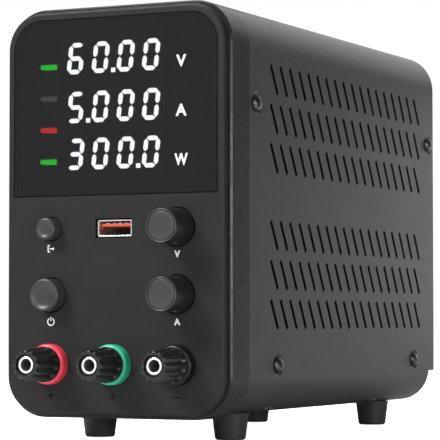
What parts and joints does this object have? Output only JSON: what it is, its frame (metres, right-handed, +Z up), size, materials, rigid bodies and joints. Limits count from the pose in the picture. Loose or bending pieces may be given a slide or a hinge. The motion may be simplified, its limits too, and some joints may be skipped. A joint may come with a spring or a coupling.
{
  "type": "bench power supply",
  "caption": "Bench DC power supply with readouts, push knobs, buttons, USB socket, screw-down binding posts, slotted cover, fan and mains inlet.",
  "frame": {"origin": "on the table, under the middle of the overall box", "axes": "+X to the right seen from the front, +Y to the back, +Z up"},
  "size_m": [0.0872, 0.2058, 0.147],
  "materials": {
    "front_plastic": "fine satin moulded plastic, near black",
    "frame_plastic": "satin moulded plastic, near black",
    "smoked_window": "polished smoked acrylic",
    "readout_black": "potted black display face",
    "lamp_clear": "translucent moulded lamp",
    "board_green": "solder-masked glass epoxy",
    "control_black": "soft satin moulded plastic",
    "switch_black": "moulded nylon",
    "plated_steel": "bright nickel plate",
    "zinc_screw": "zinc plate",
    "black_screw": "black oxide",
    "tongue_orange": "moulded orange plastic",
    "collar_red": "glossy red plastic",
    "collar_green": "glossy green plastic",
    "collar_black": "glossy black plastic",
    "cap_black": "semi-gloss black plastic",
    "cover_paint": "fine-textured dark grey powder coat",
    "foot_rubber": "matt black rubber",
    "fan_black": "moulded fan plastic",
    "inlet_black": "moulded thermoset",
    "pin_brass": "nickelled brass",
    "fuse_glass": "glass tube",
    "slider_red": "red moulded plastic",
    "sink_aluminium": "extruded, bare",
    "package_black": "epoxy package",
    "ferrite": "ferrite core with taped winding",
    "can_sleeve": "shrunk plastic sleeve",
    "choke_yellow": "coated powder core",
    "wire_red": "insulated wire"
  },
  "bodies": {
    "case": {"board_screws": "zinc_screw", "bottom_tray": "cover_paint", "capacitors": "can_sleeve", "control_board": "board_green", "cover_screws": "black_screw", "current_encoder": "switch_black", "current_readout": "readout_black", "display_board": "board_green", "display_window": "smoked_window", "face_plate": "front_plastic", "fan_housing": "fan_black", "fan_screws": "black_screw", "feet": "foot_rubber", "foot_screws": "zinc_screw", "front_frame": "frame_plastic", "ground_collar": "collar_green", "ground_stud": "plated_steel", "heat_sinks": "sink_aluminium", "indicator_lamps": "lamp_clear", "inlet_housing": "inlet_black", "inlet_pins": "pin_brass", "main_board": "board_green", "negative_collar": "collar_black", "negative_stud": "plated_steel", "output_choke": "choke_yellow", "output_switch": "switch_black", "positive_collar": "collar_red", "positive_stud": "plated_steel", "post_nuts": "plated_steel", "post_washers": "cap_black", "power_readout": "readout_black", "power_switch": "switch_black", "power_transistors": "package_black", "rear_panel": "cover_paint", "selector_body": "inlet_black", "top_cover": "cover_paint", "transformer": "ferrite", "usb_shell": "plated_steel", "usb_tongue": "tongue_orange", "voltage_encoder": "switch_black", "voltage_readout": "readout_black", "wiring": "wire_red"},
    "output_button": {"output_button": "control_black"},
    "power_button": {"power_button": "control_black"},
    "fan_rotor": {"fan_rotor": "fan_black"},
    "fuse_drawer": {"fuse_drawer": "inlet_black", "fuse": "fuse_glass"},
    "selector_slider": {"selector_slider": "slider_red"},
    "voltage_push": {"voltage_plunger": "switch_black"},
    "voltage_dial": {"voltage_shaft": "plated_steel", "voltage_knob": "control_black"},
    "current_push": {"current_plunger": "switch_black"},
    "current_dial": {"current_shaft": "plated_steel", "current_knob": "control_black"},
    "positive_ring": {"positive_clamp_ring": "plated_steel"},
    "positive_cap": {"positive_cap": "cap_black"},
    "ground_ring": {"ground_clamp_ring": "plated_steel"},
    "ground_cap": {"ground_cap": "cap_black"},
    "negative_ring": {"negative_clamp_ring": "plated_steel"},
    "negative_cap": {"negative_cap": "cap_black"}
  },
  "joints": [
    {"name": "output_press", "type": "slide", "parent": "case", "child": "output_button", "axis": [0, 1, 0], "range_m": [0, 0.0005], "stiffness_N_per_m": 1500, "springref_m": -0.0015},
    {"name": "power_latch", "type": "slide", "parent": "case", "child": "power_button", "axis": [0, 1, 0], "range_m": [-0.0015, 0.0005]},
    {"name": "fan_spin", "type": "hinge", "parent": "case", "child": "fan_rotor", "pos_m": [0, 0.0921, 0.104], "axis": [0, 1, 0], "continuous": true},
    {"name": "drawer_slide", "type": "slide", "parent": "case", "child": "fuse_drawer", "axis": [0, 1, 0], "range_m": [0, 0.02]},
    {"name": "selector_slide", "type": "slide", "parent": "case", "child": "selector_slider", "axis": [1, 0, 0], "range_m": [0, 0.004]},
    {"name": "voltage_push", "type": "slide", "parent": "case", "child": "voltage_push", "axis": [0, 1, 0], "range_m": [0, 0.0005], "stiffness_N_per_m": 1500, "springref_m": -0.0015},
    {"name": "voltage_turn", "type": "hinge", "parent": "voltage_push", "child": "voltage_dial", "pos_m": [0.024, -0.0859, 0.0717], "axis": [0, 1, 0], "continuous": true},
    {"name": "current_push", "type": "slide", "parent": "case", "child": "current_push", "axis": [0, 1, 0], "range_m": [0, 0.0005], "stiffness_N_per_m": 1500, "springref_m": -0.0015},
    {"name": "current_turn", "type": "hinge", "parent": "current_push", "child": "current_dial", "pos_m": [0.024, -0.0859, 0.0494], "axis": [0, 1, 0], "continuous": true},
    {"name": "positive_cap_travel", "type": "slide", "parent": "case", "child": "positive_ring", "axis": [0, -1, 0], "range_m": [0, 0.004]},
    {"name": "positive_cap_turn", "type": "hinge", "parent": "positive_ring", "child": "positive_cap", "pos_m": [-0.024, -0.0859, 0.0261], "axis": [0, -1, 0], "range_deg": [0, 1441]},
    {"name": "ground_cap_travel", "type": "slide", "parent": "case", "child": "ground_ring", "axis": [0, -1, 0], "range_m": [0, 0.004]},
    {"name": "ground_cap_turn", "type": "hinge", "parent": "ground_ring", "child": "ground_cap", "pos_m": [0, -0.0859, 0.0261], "axis": [0, -1, 0], "range_deg": [0, 1441]},
    {"name": "negative_cap_travel", "type": "slide", "parent": "case", "child": "negative_ring", "axis": [0, -1, 0], "range_m": [0, 0.004]},
    {"name": "negative_cap_turn", "type": "hinge", "parent": "negative_ring", "child": "negative_cap", "pos_m": [0.024, -0.0859, 0.0261], "axis": [0, -1, 0], "range_deg": [0, 1441]}
  ],
  "couplings": [
    {"joint": "positive_cap_turn", "follows": "positive_cap_travel", "rad_per_m": 6283.2},
    {"joint": "ground_cap_turn", "follows": "ground_cap_travel", "rad_per_m": 6283.2},
    {"joint": "negative_cap_turn", "follows": "negative_cap_travel", "rad_per_m": 6283.2}
  ]
}
